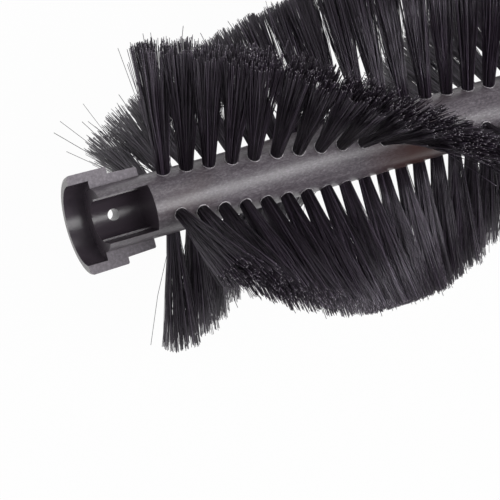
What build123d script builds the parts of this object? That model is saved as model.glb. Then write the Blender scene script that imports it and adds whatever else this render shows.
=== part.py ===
from build123d import *
from math import cos, pi, radians, sin, tan
import os

# Sweeper roller brush: a core drilled with helical rows of tuft holes, a tuft of bristles folded
# over a flat anchor in each hole, and a half-shell coupling seated on each end of the core.
# The roller's axis is X and its middle is the origin. The couplings open towards +Z.
# Millimetres and degrees.

# Core and the open channel in each end of it
core_radius = 25.0
socket_radius = 15.2
channel_ledge = 1.5
channel_draft = 4.0
screw_hole_radius = 4.75
screw_hole_from_rim = 33.6

# Tufts and their holes
row_count = 4
tufts_per_row = 26
tuft_pitch = 18.1
row_stagger = 1.6
helix_lead = 1060.0
first_row_angle = -157.4
first_tuft_from_rim = 71.4
tuft_hole_radius = 5.6
tuft_hole_depth = 11.0
tuft_clearance = 0.15
tuft_sides = 6
tip_circle_radius = 132.0
tuft_tip_radius = 10.8

# Anchors that hold the tufts in their holes
anchor_thickness = 0.6
anchor_height = 2.6
anchor_length = 9.0
anchor_clearance = 0.1

# Half-shell coupling
rim_radius = 39.1
flange_end_radius = 38.5
flange_length = 32.3
cup_radius = 31.5
cup_depth = 16.0
sleeve_start_radius = 33.3
sleeve_end_radius = 32.3
coupling_length = 56.0
core_fit_clearance = 0.1
rim_bevel = 2.6
edge_chamfer = 0.9

# Worked out from the sizes above
overall_length = 2 * first_tuft_from_rim + (tufts_per_row - 1) * tuft_pitch + (row_count - 1) * row_stagger
rim_x = -overall_length / 2
core_end_x = rim_x + cup_depth
sleeve_end_x = rim_x + coupling_length
screw_x = rim_x + screw_hole_from_rim
hole_floor_radius = core_radius - tuft_hole_depth
beyond = 2 * rim_radius


def on_both_ends(shape):
    """The shape at the left end and its mirror image at the right end."""
    return [shape, mirror(shape, about=Plane.YZ)]


def tuft_places(row):
    """Where each tuft of a row stands: its place along the axis and its turn about it."""
    places = []
    for index in range(tufts_per_row):
        along = row * row_stagger + index * tuft_pitch
        turn = first_row_angle + 360 * row / row_count + 360 * along / helix_lead
        places.append(Pos(rim_x + first_tuft_from_rim + along, 0, 0) * Rot(turn, 0, 0))
    return places


def make_channel():
    """Blind channel in the core's end: a half-round socket, a ledge along each side and drafted walls to +Z."""
    half_floor = socket_radius + channel_ledge
    half_top = half_floor + core_radius * tan(radians(channel_draft))
    with BuildSketch(Plane.YZ.offset(core_end_x)) as section:
        Circle(socket_radius)
        with BuildLine():
            Polyline((-half_floor, 0), (half_floor, 0), (half_top, core_radius), (-half_top, core_radius), close=True)
        make_face()
    return extrude(section.sketch, sleeve_end_x - core_end_x)


def make_screw_hole():
    """Round hole through the closed side of the core's end and the coupling's sleeve."""
    return Pos(screw_x, 0, -beyond / 2) * Cylinder(screw_hole_radius, beyond)


def make_core():
    """Round core with a channel and a screw hole at each end, and blind tuft holes."""
    core = Rot(0, 90, 0) * Cylinder(core_radius, -2 * core_end_x)
    for cut in (make_channel(), make_screw_hole()):
        core -= on_both_ends(cut)
    floor = Pos(0, 0, hole_floor_radius) * RegularPolygon(tuft_hole_radius, tuft_sides)
    hole = extrude(floor, 2 * tuft_hole_depth)
    holes = [place * hole for row in range(row_count) for place in tuft_places(row)]
    return core - holes


def frustum(low_radius, low_height, high_radius, high_height, sides):
    """A flat-sided taper between two regular polygons."""
    turns = [2 * pi * index / sides for index in range(sides)]
    low = [(low_radius * cos(turn), low_radius * sin(turn), low_height) for turn in turns]
    high = [(high_radius * cos(turn), high_radius * sin(turn), high_height) for turn in turns]
    walls = [(low[index - 1], low[index], high[index], high[index - 1]) for index in range(sides)]
    faces = [Face(Wire.make_polygon(corners)) for corners in (low, high, *walls)]
    return Solid(Shell(faces))


def make_tuft():
    """Bundle of bristles, notched at its root where it folds over the anchor, fanning out to its tip."""
    mouth_radius = tuft_hole_radius - tuft_clearance
    fan = (tuft_tip_radius - mouth_radius) / (tip_circle_radius - core_radius)
    root_radius = mouth_radius - fan * tuft_hole_depth
    bundle = frustum(root_radius, hole_floor_radius, tuft_tip_radius, tip_circle_radius, tuft_sides)
    notch_width = anchor_thickness + 2 * anchor_clearance
    notch_height = anchor_height + anchor_clearance
    notch = Box(2 * tuft_hole_radius, notch_width, notch_height)
    return bundle - Pos(0, 0, hole_floor_radius + notch_height / 2) * notch


def make_anchor():
    """Flat strip that stands on edge across the floor of a tuft hole."""
    return Pos(0, 0, hole_floor_radius + anchor_height / 2) * Box(anchor_length, anchor_thickness, anchor_height)


def make_coupling():
    """Half-shell coupling: bevelled cup, flange and sleeve in one revolved wall, with a hole for the screw."""
    seat_radius = core_radius + core_fit_clearance
    flange_end_x = rim_x + flange_length
    bevel_middle = rim_bevel * (1 - cos(pi / 4))
    flange_corner = (flange_end_x, flange_end_radius)
    sleeve_corner = (sleeve_end_x, sleeve_end_radius)
    with BuildSketch(Plane.XZ) as section:
        with BuildLine():
            Polyline(
                (rim_x, cup_radius),
                (rim_x, rim_radius - rim_bevel),
                (rim_x + bevel_middle, rim_radius - bevel_middle),
                (rim_x + rim_bevel, rim_radius),
                flange_corner,
                (flange_end_x, sleeve_start_radius),
                sleeve_corner,
                (sleeve_end_x, seat_radius),
                (core_end_x, seat_radius),
                (core_end_x, cup_radius),
                close=True,
            )
        make_face()
        for corner in (flange_corner, sleeve_corner):
            chamfer(section.vertices().sort_by_distance(corner)[0], edge_chamfer)
    shell = revolve(section.sketch, Axis.X)
    return split(shell - make_screw_hole(), Plane.XY, keep=Keep.BOTTOM)


def save(name, solids):
    """Writes one named piece, or a group of like pieces."""
    export_step(Compound(children=solids), os.path.join("parts", name + ".step"))


os.makedirs("parts", exist_ok=True)
save("core_tube", make_core().solids())
for side, coupling in zip(("left", "right"), on_both_ends(make_coupling())):
    save("end_coupling_" + side, coupling.solids())
tuft = make_tuft()
anchor = make_anchor()
for row in range(row_count):
    save(f"bristle_row_{row + 1}", [solid for place in tuft_places(row) for solid in (place * tuft).solids()])
    save(f"tuft_anchors_row_{row + 1}", [solid for place in tuft_places(row) for solid in (place * anchor).solids()])
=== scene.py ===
"""Looks of a sweeper roller brush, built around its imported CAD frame. Metres."""
import math

import bpy
import numpy as np
from mathutils import Matrix, Vector


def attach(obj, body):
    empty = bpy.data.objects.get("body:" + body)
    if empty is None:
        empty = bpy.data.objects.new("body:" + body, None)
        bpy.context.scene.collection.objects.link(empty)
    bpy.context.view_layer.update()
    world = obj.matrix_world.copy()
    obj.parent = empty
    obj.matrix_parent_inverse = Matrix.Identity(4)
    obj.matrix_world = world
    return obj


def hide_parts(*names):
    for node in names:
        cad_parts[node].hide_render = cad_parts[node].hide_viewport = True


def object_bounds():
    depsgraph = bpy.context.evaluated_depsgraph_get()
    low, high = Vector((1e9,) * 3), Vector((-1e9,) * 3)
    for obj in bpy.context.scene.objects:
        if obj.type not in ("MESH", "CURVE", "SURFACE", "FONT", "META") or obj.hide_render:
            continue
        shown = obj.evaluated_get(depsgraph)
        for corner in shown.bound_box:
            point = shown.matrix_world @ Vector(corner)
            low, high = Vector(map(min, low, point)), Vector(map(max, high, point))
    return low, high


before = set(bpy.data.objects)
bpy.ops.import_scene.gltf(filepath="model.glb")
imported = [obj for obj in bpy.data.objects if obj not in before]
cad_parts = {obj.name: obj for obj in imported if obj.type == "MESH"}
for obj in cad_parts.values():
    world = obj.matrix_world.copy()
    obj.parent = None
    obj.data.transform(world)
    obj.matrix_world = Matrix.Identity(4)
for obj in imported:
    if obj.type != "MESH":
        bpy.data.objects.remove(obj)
cad_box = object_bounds()

# Sizes shared with the solids
CORE_RADIUS = 0.025
HOLE_FLOOR_RADIUS = 0.014
TIP_RADIUS = 0.132
ROWS = 4
TUFTS_PER_ROW = 26

# Bristles: how many, how thick and how they gather in strands
SEED = 20
BRISTLES_PER_TUFT = 255
BRISTLE_RADIUS = 0.00026
BRISTLE_SIDES = 4
BRISTLE_POINT = 0.00022
ROOT_RADIUS = HOLE_FLOOR_RADIUS + 2 * BRISTLE_RADIUS
CLUMPS_PER_TUFT = 18
CLUMP_PULL = 0.32

# How a tuft fans out from the floor of its hole to its tips
FLOOR_FILL_RADIUS = 0.0043
MOUTH_FILL_RADIUS = 0.00465
TIP_SPREAD_ALONG = 0.0152
TIP_SPREAD_AROUND = 0.0138
TIP_SCATTER = 0.0015
TUFT_LEAN = 0.0016
ROW_SPLAY = (0.86, 1.0, 1.0, 1.0)
LOW_SHARE = (0.16, 0.26)
LOW_FAN = 0.19
LOW_BEND = 0.0002
HIGH_SHARE = (0.48, 0.64)
HIGH_FAN = 0.53
HIGH_BEND = 0.0010
LENGTH_SCATTER = 0.0014

# Stray bristles, of which the end tufts have more, row by row
STRAY_SHARE = 0.016
STRAY_REACH = 0.009
STRAY_EXTRA_LENGTH = 0.004
END_TUFTS = 2
END_SPLAY = 1.1
END_STRAY_SHARE = (0.075, 0.02, 0.02, 0.015)
END_STRAY_REACH = 0.018

# Raised rims round the tuft holes, as radius and lift above the core, with a painted highlight on one band,
# the lip
RIM_INNER_RADIUS = 0.0047
RIM_LIP_RADIUS = 0.0055
RIM_OUTER_RADIUS = 0.0060
RIM_HEIGHT = 0.0005
RIM_SEGMENTS = 28
RIM_PROFILE = (
    (RIM_INNER_RADIUS, -RIM_HEIGHT),
    (RIM_INNER_RADIUS, RIM_HEIGHT),
    (RIM_LIP_RADIUS, RIM_HEIGHT),
    (RIM_OUTER_RADIUS, -RIM_HEIGHT),
)
RIM_HIGHLIGHT_BAND = 1

# Tones, as stops of a ramp or as one colour, in linear red, green and blue
CORE_TONES = ((0.36, (0.066, 0.054, 0.066)), (0.5, (0.124, 0.107, 0.124)), (0.64, (0.240, 0.216, 0.240)))
CORE_PATCH = (0.080, 0.054, 0.055)
# Brown stain on the core, darkened as painted shade where the front row shades it
CORE_STAIN_AND_SHADE = (0.072, 0.020, 0.017)
# Painted shade in the core's end channels and on its end faces
CORE_CHANNEL_SHADE = (0.050, 0.038, 0.050)
# Painted highlight on the lips of the hole rims
RIM_HIGHLIGHT_TONES = ((0.35, (0.3, 0.28, 0.3)), (0.65, (0.78, 0.75, 0.78)))
# Couplings: darker inside as painted shade, lighter outside as painted light
COUPLING_SHADED_INSIDE_TONES = ((0.35, (0.047, 0.037, 0.048)), (0.68, (0.074, 0.060, 0.075)))
COUPLING_LIT_OUTSIDE_TONES = ((0.35, (0.140, 0.128, 0.132)), (0.68, (0.200, 0.186, 0.190)))
COUPLING_FACE_TONES = (
    (0.3, (0.172, 0.154, 0.175)),
    (0.5, (0.236, 0.214, 0.240)),
    (0.72, (0.340, 0.312, 0.345)),
)
FILAMENT_TONES = (
    (0.0, (0.0050, 0.0025, 0.0055)),
    (0.6, (0.0115, 0.0060, 0.0128)),
    (0.8, (0.036, 0.024, 0.040)),
    (1.0, (0.120, 0.094, 0.132)),
)
FILAMENT_GLINT = (0.94, 0.89, 1.0, 1.0)
# Cut ends, some painted pale as a highlight
CUT_END_HIGHLIGHT_TONES = (
    (0.0, (0.006, 0.004, 0.007)),
    (0.55, (0.026, 0.021, 0.028)),
    (0.72, (0.42, 0.38, 0.44)),
    (1.0, (0.92, 0.88, 0.94)),
)
STEEL_TONES = ((0.3, (0.42, 0.42, 0.43)), (0.7, (0.6, 0.6, 0.61)))

# Roughness, as one value or as a range, and specular levels
CORE_ROUGHNESS = (0.28, 0.44)
CHANNEL_ROUGHNESS = 0.33
CORE_SPECULAR = 0.7
RIM_ROUGHNESS = 0.3
COUPLING_ROUGHNESS = (0.26, 0.7)
FILAMENT_ROUGHNESS = (0.42, 0.28)
FILAMENT_SPECULAR = 1.0
CUT_END_ROUGHNESS = 0.7
STEEL_ROUGHNESS = (0.3, 0.5)
FLOOR_ROUGHNESS = 0.9

# How textures are drawn out along the axis and across it
STREAK_STRETCH = (14.0, 80.0, 80.0)
GRAIN_STRETCH = (0.5, 1.0, 1.0)
PATCH_STRETCH = (6.0, 14.0, 14.0)
STEEL_STRETCH = (200.0, 3000.0, 3000.0)

# Ranges over which one look gives way to another
FADE_IN = (0.0, 1.0)
FADE_OUT = (1.0, 0.0)
NOISE_MIDDLE = (0.3, 0.7)
GRAIN_SHARE = 0.68
PATCH_RANGE = (0.54, 0.74)
PATCH_SHARE = (0.0, 0.5)
# Radius inside which the core's end channels get painted shade
CHANNEL_SHADE_RADIUS = (0.0238, 0.0246)
END_FACE_TILT = (0.5, 0.8)
PARTING_FACE_HEIGHT = (-0.00025, -0.00005)
# Radius beyond which the couplings take their lighter outside tone, as painted light
LIT_OUTSIDE_RADIUS = (0.0318, 0.0328)

# Where a brown stain on the core, darkened as painted shade under the front row, fades in and out along the
# axis, and in towards the front
STAIN_AND_SHADE_START = (-0.070, -0.022)
STAIN_AND_SHADE_END = (-0.006, 0.016)
STAIN_AND_SHADE_SIDE = (0.014, -0.010)
STAIN_AND_SHADE_STRENGTH = (0.0, 0.97)

# Sockets of the mix node
MIX_SHARE = 0
MIX_VALUES = (2, 3)
MIX_VALUE_RESULT = 0
MIX_COLOURS = (6, 7)
MIX_COLOUR_RESULT = 2

# Camera, from the photograph's vanishing lines
CAMERA_PLACE = Vector((-0.7020, 0.1374, 1.4695))
CAMERA_AIM = Vector((-0.1699, -0.0549, 0.0))
CAMERA_ROLL_DEG = 14.9
CAMERA_LENS_MM = 144.0
SENSOR_MM = 36.0

# Stage
FLOOR_GAP = 0.0025
FLOOR_SIZE = 60.0
FLOOR_COLOUR = (0.65, 0.65, 0.65, 1.0)
FLOOR_WHITE_SHARE = 0.975
SURROUND_COLOUR = (1.0, 1.0, 1.0, 1.0)
SURROUND_STRENGTH = 0.27


# Meshes

def add_mesh(name, verts, quads, tris, tri_slot=0):
    """An object from vertex, quad and triangle arrays; its triangles are flat and have their own slot."""
    mesh = bpy.data.meshes.new(name)
    mesh.vertices.add(len(verts))
    mesh.vertices.foreach_set("co", np.asarray(verts, np.float32).ravel())
    corners = np.concatenate([quads.ravel(), tris.ravel()]).astype(np.int32)
    mesh.loops.add(len(corners))
    mesh.loops.foreach_set("vertex_index", corners)
    starts = np.concatenate([4 * np.arange(len(quads)), 4 * len(quads) + 3 * np.arange(len(tris))])
    mesh.polygons.add(len(starts))
    mesh.polygons.foreach_set("loop_start", starts.astype(np.int32))
    is_tri = np.arange(len(starts)) >= len(quads)
    mesh.polygons.foreach_set("material_index", np.where(is_tri, tri_slot, 0).astype(np.int32))
    mesh.polygons.foreach_set("use_smooth", ~is_tri)
    mesh.update(calc_edges=True)
    mesh.validate()
    obj = bpy.data.objects.new(name, mesh)
    bpy.context.scene.collection.objects.link(obj)
    return obj


def no_triangles():
    """An empty list of triangles, for a mesh of quads alone."""
    return np.zeros((0, 3), int)


def tuft_places(row):
    """Place along the axis and turn about it of each tuft in a row, read from the row's anchors."""
    co = np.array([v.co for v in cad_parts[f"tuft_anchors_row_{row}"].data.vertices])
    along = co[np.argsort(co[:, 0])]
    middles = [group.mean(0) for group in np.split(along, TUFTS_PER_ROW)]
    return [(x, math.atan2(-y, z)) for x, y, z in middles]


def placed(local, x, turn):
    """Points given along the axis, round the core and outwards, moved to a tuft's place."""
    along = np.array([1.0, 0.0, 0.0])
    around = np.array([0.0, -math.cos(turn), -math.sin(turn)])
    outward = np.array([0.0, -math.sin(turn), math.cos(turn)])
    return local @ np.stack([along, around, outward]) + np.array([x, 0.0, 0.0])


def disc(rng, count):
    """Points spread evenly over a unit disc."""
    radius = np.sqrt(rng.random(count))
    angle = rng.random(count) * 2 * math.pi
    return np.stack([radius * np.cos(angle), radius * np.sin(angle)], 1)


def bristle_lines(rng, splay, stray_share, stray_reach):
    """Four points of each bristle in one tuft: offsets along and around, and distance from the axis."""
    count = BRISTLES_PER_TUFT
    unit = disc(rng, count)
    spread = np.array([TIP_SPREAD_ALONG, TIP_SPREAD_AROUND]) * splay
    lean = rng.normal(0, TUFT_LEAN, 2)
    clumps = disc(rng, CLUMPS_PER_TUFT)
    own_clump = clumps[np.linalg.norm(unit[:, None] - clumps, axis=2).argmin(1)]
    gathered = unit + (own_clump - unit) * CLUMP_PULL
    tip = gathered * spread + lean + rng.normal(0, TIP_SCATTER, (count, 2))
    stray = rng.random(count) < stray_share
    tip[stray] += rng.normal(0, stray_reach, (stray.sum(), 2))
    reach = TIP_RADIUS - np.abs(rng.normal(0, LENGTH_SCATTER, count))
    reach[stray] += rng.random(stray.sum()) * STRAY_EXTRA_LENGTH
    tip_height = np.sqrt(np.maximum(reach ** 2 - tip[:, 1] ** 2, 0))
    mouth = unit * MOUTH_FILL_RADIUS
    flat = [unit * FLOOR_FILL_RADIUS]
    height = [np.full(count, ROOT_RADIUS)]
    for share, fan, bend in ((LOW_SHARE, LOW_FAN, LOW_BEND), (HIGH_SHARE, HIGH_FAN, HIGH_BEND)):
        part = rng.uniform(*share, count)
        opened = fan * part / np.mean(share)
        flat.append(mouth + (tip - mouth) * opened[:, None] + rng.normal(0, bend, (count, 2)))
        height.append(CORE_RADIUS + (tip_height - CORE_RADIUS) * part)
    flat.append(tip)
    height.append(tip_height)
    return np.concatenate([np.stack(flat, 1), np.stack(height, 1)[:, :, None]], 2)


def prisms(lines, rng):
    """Thin prisms along many bent lines, flat at the start and bluntly pointed at the end."""
    count, rings = lines.shape[:2]
    sides = BRISTLE_SIDES
    turn = rng.random(count)[:, None] * 2 * math.pi + np.arange(sides) * 2 * math.pi / sides
    section = BRISTLE_RADIUS * np.stack([np.cos(turn), np.sin(turn), np.zeros_like(turn)], 2)
    walls = (lines[:, :, None, :] + section[:, None, :, :]).reshape(-1, 3)
    points = lines[:, -1] + np.array([0.0, 0.0, BRISTLE_POINT])
    base = np.arange(count)[:, None, None] * rings * sides
    ring = np.arange(rings - 1)[None, :, None] * sides
    side = np.arange(sides)[None, None, :]
    after = (side + 1) % sides
    low = base + ring
    quads = np.stack([low + side, low + after, low + sides + after, low + sides + side], 3).reshape(-1, 4)
    last = base[:, 0] + (rings - 1) * sides
    apex = np.broadcast_to(len(walls) + np.arange(count)[:, None], (count, sides))
    tops = np.stack([last + side[0], last + after[0], apex], 2).reshape(-1, 3)
    fan = np.array([(0, corner + 1, corner) for corner in range(1, sides - 1)])
    bottoms = (base + fan).reshape(-1, 3)
    return np.concatenate([walls, points]), quads, np.concatenate([tops, bottoms])


def make_bristles(row, materials):
    """All the bristles of one row as one object that stands for the row's plain tufts."""
    rng = np.random.default_rng(SEED + row)
    all_verts, all_quads, all_tris = [], [], []
    offset = 0
    for index, (x, turn) in enumerate(tuft_places(row)):
        looseness = (ROW_SPLAY[row - 1], STRAY_SHARE, STRAY_REACH)
        if min(index, TUFTS_PER_ROW - 1 - index) < END_TUFTS:
            looseness = (END_SPLAY, END_STRAY_SHARE[row - 1], END_STRAY_REACH)
        verts, quads, tris = prisms(bristle_lines(rng, *looseness), rng)
        all_verts.append(placed(verts, x, turn))
        all_quads.append(quads + offset)
        all_tris.append(tris + offset)
        offset += len(verts)
    obj = add_mesh(f"bristles_row_{row}", np.concatenate(all_verts), np.concatenate(all_quads),
                   np.concatenate(all_tris), tri_slot=1)
    for material in materials:
        obj.data.materials.append(material)
    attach(obj, "root")
    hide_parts(f"bristle_row_{row}")


def hole_rim():
    """The rim of one hole that lies on the core: its points, and its quads band by band."""
    angle = np.arange(RIM_SEGMENTS) * 2 * math.pi / RIM_SEGMENTS
    step = np.arange(RIM_SEGMENTS)
    after = (step + 1) % RIM_SEGMENTS
    rings, bands = [], []
    for ring, (radius, lift) in enumerate(RIM_PROFILE):
        along = radius * np.cos(angle)
        across = radius * np.sin(angle)
        rings.append(np.stack([along, across, np.sqrt((CORE_RADIUS + lift) ** 2 - across ** 2)], 1))
        here = ring * RIM_SEGMENTS
        there = (ring + 1) % len(RIM_PROFILE) * RIM_SEGMENTS
        bands.append(np.stack([here + step, there + step, there + after, here + after], 1))
    return np.concatenate(rings), np.concatenate(bands)


def make_hole_rims(row, materials):
    """Low raised rims round the tuft holes of one row, each with a painted highlight on its lip."""
    local, quads = hole_rim()
    places = tuft_places(row)
    all_verts = [placed(local, x, turn) for x, turn in places]
    all_quads = [quads + index * len(local) for index in range(len(places))]
    obj = add_mesh(f"tuft_hole_rims_{row}", np.concatenate(all_verts), np.concatenate(all_quads),
                   no_triangles())
    for material in materials:
        obj.data.materials.append(material)
    # The lip band gets the painted highlight
    band_of = np.arange(len(obj.data.polygons)) // RIM_SEGMENTS % len(RIM_PROFILE)
    obj.data.polygons.foreach_set("material_index", (band_of == RIM_HIGHLIGHT_BAND).astype(np.int32))
    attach(obj, "root")


# Steps of a material

def new_material(name):
    """A new node material, with its node tree and its shader."""
    material = bpy.data.materials.new(name)
    material.use_nodes = True
    tree = material.node_tree
    return material, tree, tree.nodes["Principled BSDF"]


def object_coords(tree):
    """Coordinates in the part's own frame."""
    return tree.nodes.new("ShaderNodeTexCoord").outputs["Object"]


def random_per_bristle(tree):
    """A value of its own for each loose piece of a mesh."""
    return tree.nodes.new("ShaderNodeNewGeometry").outputs["Random Per Island"]


def stretched(tree, coords, scale):
    """Coordinates scaled by a vector, to draw a texture out along one axis."""
    node = tree.nodes.new("ShaderNodeVectorMath")
    node.operation = "MULTIPLY"
    node.inputs[1].default_value = scale
    tree.links.new(coords, node.inputs[0])
    return node.outputs["Vector"]


def noise(tree, coords, scale, detail=4.0, roughness=0.55):
    """A noise texture on the given coordinates; returns its value output."""
    node = tree.nodes.new("ShaderNodeTexNoise")
    node.inputs["Scale"].default_value = scale
    node.inputs["Detail"].default_value = detail
    node.inputs["Roughness"].default_value = roughness
    tree.links.new(coords, node.inputs["Vector"])
    return node.outputs["Fac"]


def ramp(tree, value, stops):
    """A colour ramp through (position, colour) stops."""
    node = tree.nodes.new("ShaderNodeValToRGB")
    elements = node.color_ramp.elements
    any_position = 0.5
    while len(elements) < len(stops):
        elements.new(any_position)
    for element, (position, colour) in zip(elements, stops):
        element.position = position
        element.color = (*colour, 1.0)
    tree.links.new(value, node.inputs["Fac"])
    return node.outputs["Color"]


def mix_colour(tree, share, first, second):
    """Goes from one colour to another, each an output or a tuple, by a value output or a number."""
    node = tree.nodes.new("ShaderNodeMix")
    node.data_type = "RGBA"
    if isinstance(share, float):
        node.inputs[MIX_SHARE].default_value = share
    else:
        tree.links.new(share, node.inputs[MIX_SHARE])
    for socket, colour in zip(MIX_COLOURS, (first, second)):
        if isinstance(colour, tuple):
            node.inputs[socket].default_value = (*colour, 1.0)
        else:
            tree.links.new(colour, node.inputs[socket])
    return node.outputs[MIX_COLOUR_RESULT]


def mix_value(tree, share, first, second):
    """Goes from a number to a value output as the share rises."""
    node = tree.nodes.new("ShaderNodeMix")
    node.data_type = "FLOAT"
    tree.links.new(share, node.inputs[MIX_SHARE])
    node.inputs[MIX_VALUES[0]].default_value = first
    tree.links.new(second, node.inputs[MIX_VALUES[1]])
    return node.outputs[MIX_VALUE_RESULT]


def remap(tree, value, source, target):
    """A value mapped from one range to another and clamped."""
    node = tree.nodes.new("ShaderNodeMapRange")
    for name, limit in zip(("From Min", "From Max", "To Min", "To Max"), (*source, *target)):
        node.inputs[name].default_value = limit
    tree.links.new(value, node.inputs["Value"])
    return node.outputs["Result"]


def calculate(tree, operation, *values):
    """One step of arithmetic on value outputs and numbers."""
    node = tree.nodes.new("ShaderNodeMath")
    node.operation = operation
    for socket, value in zip(node.inputs, values):
        if isinstance(value, float):
            socket.default_value = value
        else:
            tree.links.new(value, socket)
    return node.outputs["Value"]


def bump(tree, height, strength, distance, normal=None):
    """A bump from a height output, on top of another bump if there is one."""
    node = tree.nodes.new("ShaderNodeBump")
    node.inputs["Strength"].default_value = strength
    node.inputs["Distance"].default_value = distance
    tree.links.new(height, node.inputs["Height"])
    if normal is not None:
        tree.links.new(normal, node.inputs["Normal"])
    return node.outputs["Normal"]


def axis_value(tree, vector, axis):
    """One component of a vector output."""
    node = tree.nodes.new("ShaderNodeSeparateXYZ")
    tree.links.new(vector, node.inputs["Vector"])
    return node.outputs[axis]


def distance_from_axis(tree, coords):
    """How far a point is from the roller's axis."""
    node = tree.nodes.new("ShaderNodeVectorMath")
    node.operation = "LENGTH"
    tree.links.new(stretched(tree, coords, (0.0, 1.0, 1.0)), node.inputs[0])
    return node.outputs["Value"]


def end_facing(tree):
    """How far a surface faces along the roller's axis, either way."""
    normal = tree.nodes.new("ShaderNodeTexCoord").outputs["Normal"]
    return calculate(tree, "ABSOLUTE", axis_value(tree, normal, "X"))


# Materials

def stain_and_shade_share(tree, coords):
    """How much of the core's brown stain and painted shade there is at a point."""
    along = axis_value(tree, coords, "X")
    begun = remap(tree, along, STAIN_AND_SHADE_START, STAIN_AND_SHADE_STRENGTH)
    going_on = remap(tree, along, STAIN_AND_SHADE_END, FADE_OUT)
    in_front = remap(tree, axis_value(tree, coords, "Y"), STAIN_AND_SHADE_SIDE, FADE_IN)
    return calculate(tree, "MULTIPLY", calculate(tree, "MULTIPLY", begun, going_on), in_front)


def unshaded_share(tree, coords):
    """One on the core's round outside, nought in its end channels and on its end faces, where shade is
    painted.
    """
    outside = remap(tree, distance_from_axis(tree, coords), CHANNEL_SHADE_RADIUS, FADE_IN)
    sideways = remap(tree, end_facing(tree), END_FACE_TILT, FADE_OUT)
    return calculate(tree, "MULTIPLY", outside, sideways)


def core_material():
    """Charcoal plastic bar: fine grain, faint streaks, a brown stain with painted shade under the front
    row, and painted shade in its end channels and on its end faces.
    """
    material, tree, shader = new_material("core_plastic")
    coords = object_coords(tree)
    streaks = noise(tree, stretched(tree, coords, STREAK_STRETCH), scale=2.2, detail=5.0, roughness=0.6)
    grain = noise(tree, stretched(tree, coords, GRAIN_STRETCH), scale=750.0, detail=3.0, roughness=0.75)
    patches = noise(tree, stretched(tree, coords, PATCH_STRETCH), scale=2.0, detail=3.0)
    tone = ramp(tree, mix_colour(tree, GRAIN_SHARE, streaks, grain), CORE_TONES)
    mottled = mix_colour(tree, remap(tree, patches, PATCH_RANGE, PATCH_SHARE), tone, CORE_PATCH)
    outside = mix_colour(tree, stain_and_shade_share(tree, coords), mottled, CORE_STAIN_AND_SHADE)
    # Painted shade in the end channels and on the end faces
    unshaded_part = unshaded_share(tree, coords)
    tree.links.new(mix_colour(tree, unshaded_part, CORE_CHANNEL_SHADE, outside), shader.inputs["Base Color"])
    outside_roughness = remap(tree, grain, NOISE_MIDDLE, CORE_ROUGHNESS)
    roughness = mix_value(tree, unshaded_part, CHANNEL_ROUGHNESS, outside_roughness)
    tree.links.new(roughness, shader.inputs["Roughness"])
    shader.inputs["Specular IOR Level"].default_value = CORE_SPECULAR
    coarse = bump(tree, streaks, strength=0.15, distance=0.0003)
    fine = bump(tree, grain, strength=0.5, distance=0.0002, normal=coarse)
    tree.links.new(fine, shader.inputs["Normal"])
    return material


def hole_rim_highlight_material():
    """Painted highlight on the lips of the raised rims round the tuft holes: pale, mottled and glossy."""
    material, tree, shader = new_material("hole_rim_highlight")
    highlight_mottle = noise(tree, object_coords(tree), scale=500.0, detail=2.0)
    tree.links.new(ramp(tree, highlight_mottle, RIM_HIGHLIGHT_TONES), shader.inputs["Base Color"])
    shader.inputs["Roughness"].default_value = RIM_ROUGHNESS
    return material


def coupling_material():
    """Moulded dark plastic: glossy and darker inside as painted shade, lighter outside as painted light,
    paler and mottled on its flat parting faces.
    """
    material, tree, shader = new_material("coupling_plastic")
    coords = object_coords(tree)
    flat_face = remap(tree, axis_value(tree, coords, "Z"), PARTING_FACE_HEIGHT, FADE_IN)
    lit_outside = remap(tree, distance_from_axis(tree, coords), LIT_OUTSIDE_RADIUS, FADE_IN)
    mottle = noise(tree, coords, scale=420.0, detail=5.0, roughness=0.65)
    cloud = noise(tree, coords, scale=60.0, detail=3.0)
    shaded_inside_tone = ramp(tree, cloud, COUPLING_SHADED_INSIDE_TONES)
    lit_outside_tone = ramp(tree, cloud, COUPLING_LIT_OUTSIDE_TONES)
    # Painted shade inside, painted light outside
    wall_tone = mix_colour(tree, lit_outside, shaded_inside_tone, lit_outside_tone)
    face_tone = ramp(tree, mottle, COUPLING_FACE_TONES)
    tree.links.new(mix_colour(tree, flat_face, wall_tone, face_tone), shader.inputs["Base Color"])
    tree.links.new(remap(tree, flat_face, FADE_IN, COUPLING_ROUGHNESS), shader.inputs["Roughness"])
    grain = bump(tree, mottle, strength=0.25, distance=0.0003)
    tree.links.new(grain, shader.inputs["Normal"])
    return material


def bristle_material():
    """Black filament, each with its own depth of black and its own gloss."""
    material, tree, shader = new_material("bristle_filament")
    each = random_per_bristle(tree)
    tree.links.new(ramp(tree, each, FILAMENT_TONES), shader.inputs["Base Color"])
    tree.links.new(remap(tree, each, FADE_IN, FILAMENT_ROUGHNESS), shader.inputs["Roughness"])
    shader.inputs["Specular IOR Level"].default_value = FILAMENT_SPECULAR
    shader.inputs["Specular Tint"].default_value = FILAMENT_GLINT
    return material


def bristle_end_highlight_material():
    """Cut ends of the filaments, some of them painted pale as a highlight, and dull."""
    material, tree, shader = new_material("bristle_cut_end")
    tree.links.new(ramp(tree, random_per_bristle(tree), CUT_END_HIGHLIGHT_TONES), shader.inputs["Base Color"])
    shader.inputs["Roughness"].default_value = CUT_END_ROUGHNESS
    return material


def anchor_material():
    """Drawn steel strip."""
    material, tree, shader = new_material("anchor_steel")
    grain = noise(tree, stretched(tree, object_coords(tree), STEEL_STRETCH), scale=1.0)
    tree.links.new(ramp(tree, grain, STEEL_TONES), shader.inputs["Base Color"])
    tree.links.new(remap(tree, grain, NOISE_MIDDLE, STEEL_ROUGHNESS), shader.inputs["Roughness"])
    shader.inputs["Metallic"].default_value = 1.0
    return material


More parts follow.
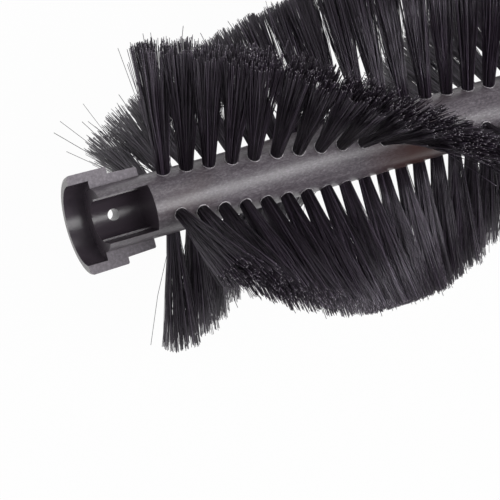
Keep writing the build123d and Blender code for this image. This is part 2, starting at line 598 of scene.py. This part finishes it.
def floor_material():
    """Pale floor that the camera and reflections see as white, with a trace of the shadow."""
    material, tree, shader = new_material("stage_floor")
    shader.inputs["Base Color"].default_value = FLOOR_COLOUR
    shader.inputs["Roughness"].default_value = FLOOR_ROUGHNESS
    path = tree.nodes.new("ShaderNodeLightPath")
    seen = path.outputs["Is Camera Ray"]
    for kind in ("Is Glossy Ray", "Is Transmission Ray"):
        seen = calculate(tree, "MAXIMUM", seen, path.outputs[kind])
    white = tree.nodes.new("ShaderNodeEmission")
    mixed = tree.nodes.new("ShaderNodeMixShader")
    tree.links.new(calculate(tree, "MULTIPLY", seen, FLOOR_WHITE_SHARE), mixed.inputs[0])
    tree.links.new(shader.outputs[0], mixed.inputs[1])
    tree.links.new(white.outputs[0], mixed.inputs[2])
    tree.links.new(mixed.outputs[0], tree.nodes["Material Output"].inputs["Surface"])
    return material


def dress(node, material):
    """Gives a CAD node one material."""
    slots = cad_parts[node].data.materials
    slots.clear()
    slots.append(material)


# Stage, light and camera

def make_floor():
    """A wide pale floor just under the lowest bristles."""
    half = FLOOR_SIZE / 2
    level = cad_box[0][2] - FLOOR_GAP
    outline = ((-half, -half), (half, -half), (half, half), (-half, half))
    corners = np.array([(x, y, level) for x, y in outline])
    floor = add_mesh("stage_floor", corners, np.array([[0, 1, 2, 3]]), no_triangles())
    floor.data.materials.append(floor_material())


def add_area_light(name, place, target, size, watts):
    """A square soft light that faces a point."""
    data = bpy.data.lights.new(name, "AREA")
    data.size = size
    data.energy = watts
    light = bpy.data.objects.new(name, data)
    light.location = place
    light.rotation_euler = (Vector(target) - Vector(place)).to_track_quat("-Z", "Y").to_euler()
    bpy.context.scene.collection.objects.link(light)


def make_lights():
    """Even studio light: a pale surround, a large light above and weaker ones from each end and behind."""
    world = bpy.data.worlds.new("studio")
    world.use_nodes = True
    surround = world.node_tree.nodes["Background"]
    surround.inputs["Color"].default_value = SURROUND_COLOUR
    surround.inputs["Strength"].default_value = SURROUND_STRENGTH
    bpy.context.scene.world = world
    add_area_light("key", place=(0.34, -0.20, 1.5), target=(-0.1, 0.0, 0.0), size=0.8, watts=12.0)
    add_area_light("fill", place=(-1.1, -0.05, 1.2), target=(-0.2, 0.0, 0.0), size=0.8, watts=3.0)
    add_area_light("side", place=(1.2, -0.45, 0.8), target=(0.1, 0.0, 0.0), size=0.6, watts=7.0)
    add_area_light("back", place=(0.1, 1.1, 0.9), target=(0.0, 0.05, 0.0), size=0.8, watts=3.0)


def make_camera():
    """The photograph's camera: from above, with the roller rising to the right."""
    data = bpy.data.cameras.new("camera")
    data.lens = CAMERA_LENS_MM
    data.sensor_width = SENSOR_MM
    camera = bpy.data.objects.new("camera", data)
    roll = math.radians(CAMERA_ROLL_DEG)
    forward = (CAMERA_AIM - CAMERA_PLACE).normalized()
    right = forward.cross(Vector((math.sin(roll), math.cos(roll), 0.0))).normalized()
    up = right.cross(forward)
    turn = Matrix((right, up, -forward)).transposed().to_4x4()
    camera.matrix_world = Matrix.Translation(CAMERA_PLACE) @ turn
    bpy.context.scene.collection.objects.link(camera)
    bpy.context.scene.camera = camera


core_plastic = core_material()
hole_rim_highlight = hole_rim_highlight_material()
coupling_plastic = coupling_material()
anchor_steel = anchor_material()
filament = (bristle_material(), bristle_end_highlight_material())
dress("core_tube", core_plastic)
for side in ("left", "right"):
    dress(f"end_coupling_{side}", coupling_plastic)
for row in range(1, ROWS + 1):
    dress(f"tuft_anchors_row_{row}", anchor_steel)
    make_bristles(row, filament)
    make_hole_rims(row, (core_plastic, hole_rim_highlight))
make_floor()
make_lights()
make_camera()
bpy.context.scene.view_settings.view_transform = "Standard"
